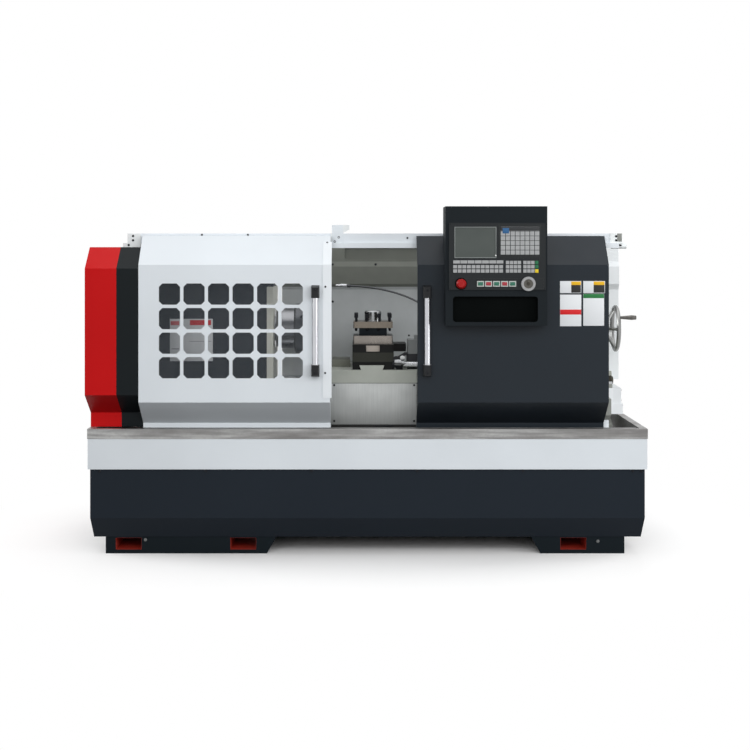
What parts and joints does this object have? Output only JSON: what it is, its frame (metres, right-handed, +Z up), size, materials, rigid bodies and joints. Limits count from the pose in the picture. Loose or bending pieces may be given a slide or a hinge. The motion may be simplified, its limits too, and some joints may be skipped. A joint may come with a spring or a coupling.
{
  "type": "turning lathe",
  "caption": "Flat-bed CNC turning lathe with sliding guard doors, windowed left door, hanging control box, tool turret, chuck and tailstock.",
  "frame": {"origin": "middle of the footprint, on the floor", "axes": "+X along the spindle towards the tailstock, +Y to the back, +Z up"},
  "size_m": [2.626, 1.7916, 1.606],
  "materials": {
    "cast_grey": "matt paint",
    "base_dark": "satin powder coat",
    "guard_white": "satin powder coat",
    "guard_red": "satin powder coat",
    "guard_black": "satin powder coat",
    "galvanised": "zinc spangle",
    "ground_steel": "ground",
    "machined": "machined",
    "black_oxide": "black oxide",
    "chrome": "bright",
    "aluminium": "satin",
    "clear_pane": "clear",
    "panel_dark": "fine texture",
    "screen": "gloss",
    "red_plastic": "gloss",
    "green_plastic": "gloss",
    "rubber": "matt",
    "cabinet_grey": "satin powder coat"
  },
  "bodies": {
    "machine": {"left_pedestal": "base_dark", "right_pedestal": "base_dark", "base_skirt": "base_dark", "base_band": "guard_white", "chip_tray": "galvanised", "lathe_bed": "cast_grey", "bed_end_cover": "guard_white", "red_end_cover": "guard_red", "black_end_cover": "guard_black", "door_beam": "guard_white", "beam_brackets": "guard_white", "rear_guard": "guard_white", "headstock_casing": "cast_grey", "headstock_cover": "cast_grey", "spindle_bearings": "ground_steel", "main_motor": "cast_grey", "drive_belts": "rubber", "z_servo_motor": "black_oxide", "coolant_tank": "galvanised", "coolant_pump": "cast_grey", "electrical_cabinet": "cabinet_grey", "drive_units": "panel_dark"},
    "cabinet_door": {"cabinet_door": "cabinet_grey"},
    "cabinet_latch": {"cabinet_latch": "black_oxide"},
    "motor_rotor": {"motor_pulley": "machined"},
    "long_screw": {"z_ballscrew": "ground_steel"},
    "left_door": {"left_door": "guard_white", "window_pane": "clear_pane", "door_edge_strip": "guard_white", "left_handle": "aluminium"},
    "right_door": {"right_door": "base_dark", "right_handle": "aluminium", "control_box": "panel_dark", "cnc_panel": "panel_dark", "display_screen": "screen"},
    "emergency_stop": {"emergency_stop": "red_plastic"},
    "pulse_dial": {"pulse_dial": "aluminium"},
    "carriage": {"saddle": "machined", "apron_cover": "galvanised", "x_servo_motor": "cast_grey", "coolant_gooseneck": "black_oxide"},
    "cross_slide": {"cross_slide": "black_oxide"},
    "turret": {"tool_turret": "machined", "clamp_bolts": "black_oxide"},
    "spindle": {"spindle": "ground_steel", "chuck_body": "machined"},
    "tailstock": {"tailstock_body": "cast_grey"},
    "quill": {"quill": "ground_steel", "tail_centre": "chrome"},
    "tailstock_wheel": {"tailstock_wheel": "machined"},
    "wheel_grip": {"wheel_grip": "machined"},
    "clamp_lever": {"quill_clamp_lever": "machined"},
    "button_1": {"button_1": "green_plastic"},
    "button_2": {"button_2": "red_plastic"},
    "button_3": {"button_3": "green_plastic"},
    "button_4": {"button_4": "red_plastic"},
    "button_5": {"button_5": "green_plastic"},
    "jaw_1": {"chuck_jaw_1": "machined"},
    "jaw_2": {"chuck_jaw_2": "machined"},
    "jaw_3": {"chuck_jaw_3": "machined"}
  },
  "joints": [
    {"name": "left_door_slide", "type": "slide", "parent": "machine", "child": "left_door", "axis": [1, 0, 0], "range_m": [0, 0.195]},
    {"name": "right_door_slide", "type": "slide", "parent": "machine", "child": "right_door", "axis": [1, 0, 0], "range_m": [-0.195, 0.15]},
    {"name": "cabinet_door_hinge", "type": "hinge", "parent": "machine", "child": "cabinet_door", "pos_m": [0.484, 0.8702, 0.74], "axis": [0, 0, -1], "range_deg": [0, 110]},
    {"name": "cabinet_latch_turn", "type": "hinge", "parent": "cabinet_door", "child": "cabinet_latch", "pos_m": [-0.278, 0.8818, 0.74], "axis": [0, 1, 0], "range_deg": [0, 90]},
    {"name": "spindle_spin", "type": "hinge", "parent": "machine", "child": "spindle", "pos_m": [-0.023, -0.0368, 1.016], "axis": [1, 0, 0], "continuous": true},
    {"name": "motor_spin", "type": "hinge", "parent": "machine", "child": "motor_rotor", "pos_m": [-1.023, 0.3332, 0.96], "axis": [1, 0, 0], "continuous": true},
    {"name": "chuck_grip", "type": "slide", "parent": "spindle", "child": "jaw_1", "axis": [0, 0, 1], "range_m": [-0.02, 0.01]},
    {"name": "carriage_slide", "type": "slide", "parent": "machine", "child": "carriage", "axis": [1, 0, 0], "range_m": [-0.08, 0.25]},
    {"name": "long_screw_spin", "type": "hinge", "parent": "machine", "child": "long_screw", "pos_m": [-0.023, -0.2868, 0.65], "axis": [1, 0, 0], "continuous": true},
    {"name": "cross_slide_travel", "type": "slide", "parent": "carriage", "child": "cross_slide", "axis": [0, 1, 0], "range_m": [-0.2, 0.02]},
    {"name": "turret_index", "type": "hinge", "parent": "cross_slide", "child": "turret", "pos_m": [0.005, -0.1668, 0.951], "axis": [0, 0, 1], "continuous": true},
    {"name": "tailstock_slide", "type": "slide", "parent": "machine", "child": "tailstock", "axis": [1, 0, 0], "range_m": [-0.15, 0]},
    {"name": "handwheel_turn", "type": "hinge", "parent": "tailstock", "child": "tailstock_wheel", "pos_m": [1.225, -0.0368, 1.016], "axis": [1, 0, 0], "range_deg": [0, 7200]},
    {"name": "quill_travel", "type": "slide", "parent": "tailstock", "child": "quill", "axis": [-1, 0, 0], "range_m": [0, 0.1001]},
    {"name": "wheel_grip_spin", "type": "hinge", "parent": "tailstock_wheel", "child": "wheel_grip", "pos_m": [1.247, -0.12612, 1.074], "axis": [1, 0, 0], "continuous": true},
    {"name": "quill_lever_turn", "type": "hinge", "parent": "tailstock", "child": "clamp_lever", "pos_m": [1.135, -0.0368, 1.094], "axis": [0, 0, 1], "range_deg": [0, 90]},
    {"name": "emergency_stop_push", "type": "slide", "parent": "right_door", "child": "emergency_stop", "axis": [0, 1, 0], "range_m": [0, 0.004], "stiffness_N_per_m": 800},
    {"name": "pulse_dial_turn", "type": "hinge", "parent": "right_door", "child": "pulse_dial", "pos_m": [0.697, -0.8648, 1.258], "axis": [0, 1, 0], "continuous": true},
    {"name": "chuck_grip_2", "type": "slide", "parent": "spindle", "child": "jaw_2", "axis": [0, -0.866, -0.5], "range_m": [-0.0201, 0.0101]},
    {"name": "chuck_grip_3", "type": "slide", "parent": "spindle", "child": "jaw_3", "axis": [0, 0.866, -0.5], "range_m": [-0.0201, 0.0101]},
    {"name": "button_1_push", "type": "slide", "parent": "right_door", "child": "button_1", "axis": [0, 1, 0], "range_m": [0, 0.003], "stiffness_N_per_m": 300},
    {"name": "button_2_push", "type": "slide", "parent": "right_door", "child": "button_2", "axis": [0, 1, 0], "range_m": [0, 0.003], "stiffness_N_per_m": 300},
    {"name": "button_3_push", "type": "slide", "parent": "right_door", "child": "button_3", "axis": [0, 1, 0], "range_m": [0, 0.003], "stiffness_N_per_m": 300},
    {"name": "button_4_push", "type": "slide", "parent": "right_door", "child": "button_4", "axis": [0, 1, 0], "range_m": [0, 0.003], "stiffness_N_per_m": 300},
    {"name": "button_5_push", "type": "slide", "parent": "right_door", "child": "button_5", "axis": [0, 1, 0], "range_m": [0, 0.003], "stiffness_N_per_m": 300}
  ],
  "couplings": [
    {"joint": "motor_spin", "follows": "spindle_spin", "ratio": 1.8667},
    {"joint": "long_screw_spin", "follows": "carriage_slide", "rad_per_m": 628.32},
    {"joint": "quill_travel", "follows": "handwheel_turn", "m_per_rad": 0.00079577},
    {"joint": "chuck_grip_2", "follows": "chuck_grip", "ratio": 1},
    {"joint": "chuck_grip_3", "follows": "chuck_grip", "ratio": 1}
  ]
}
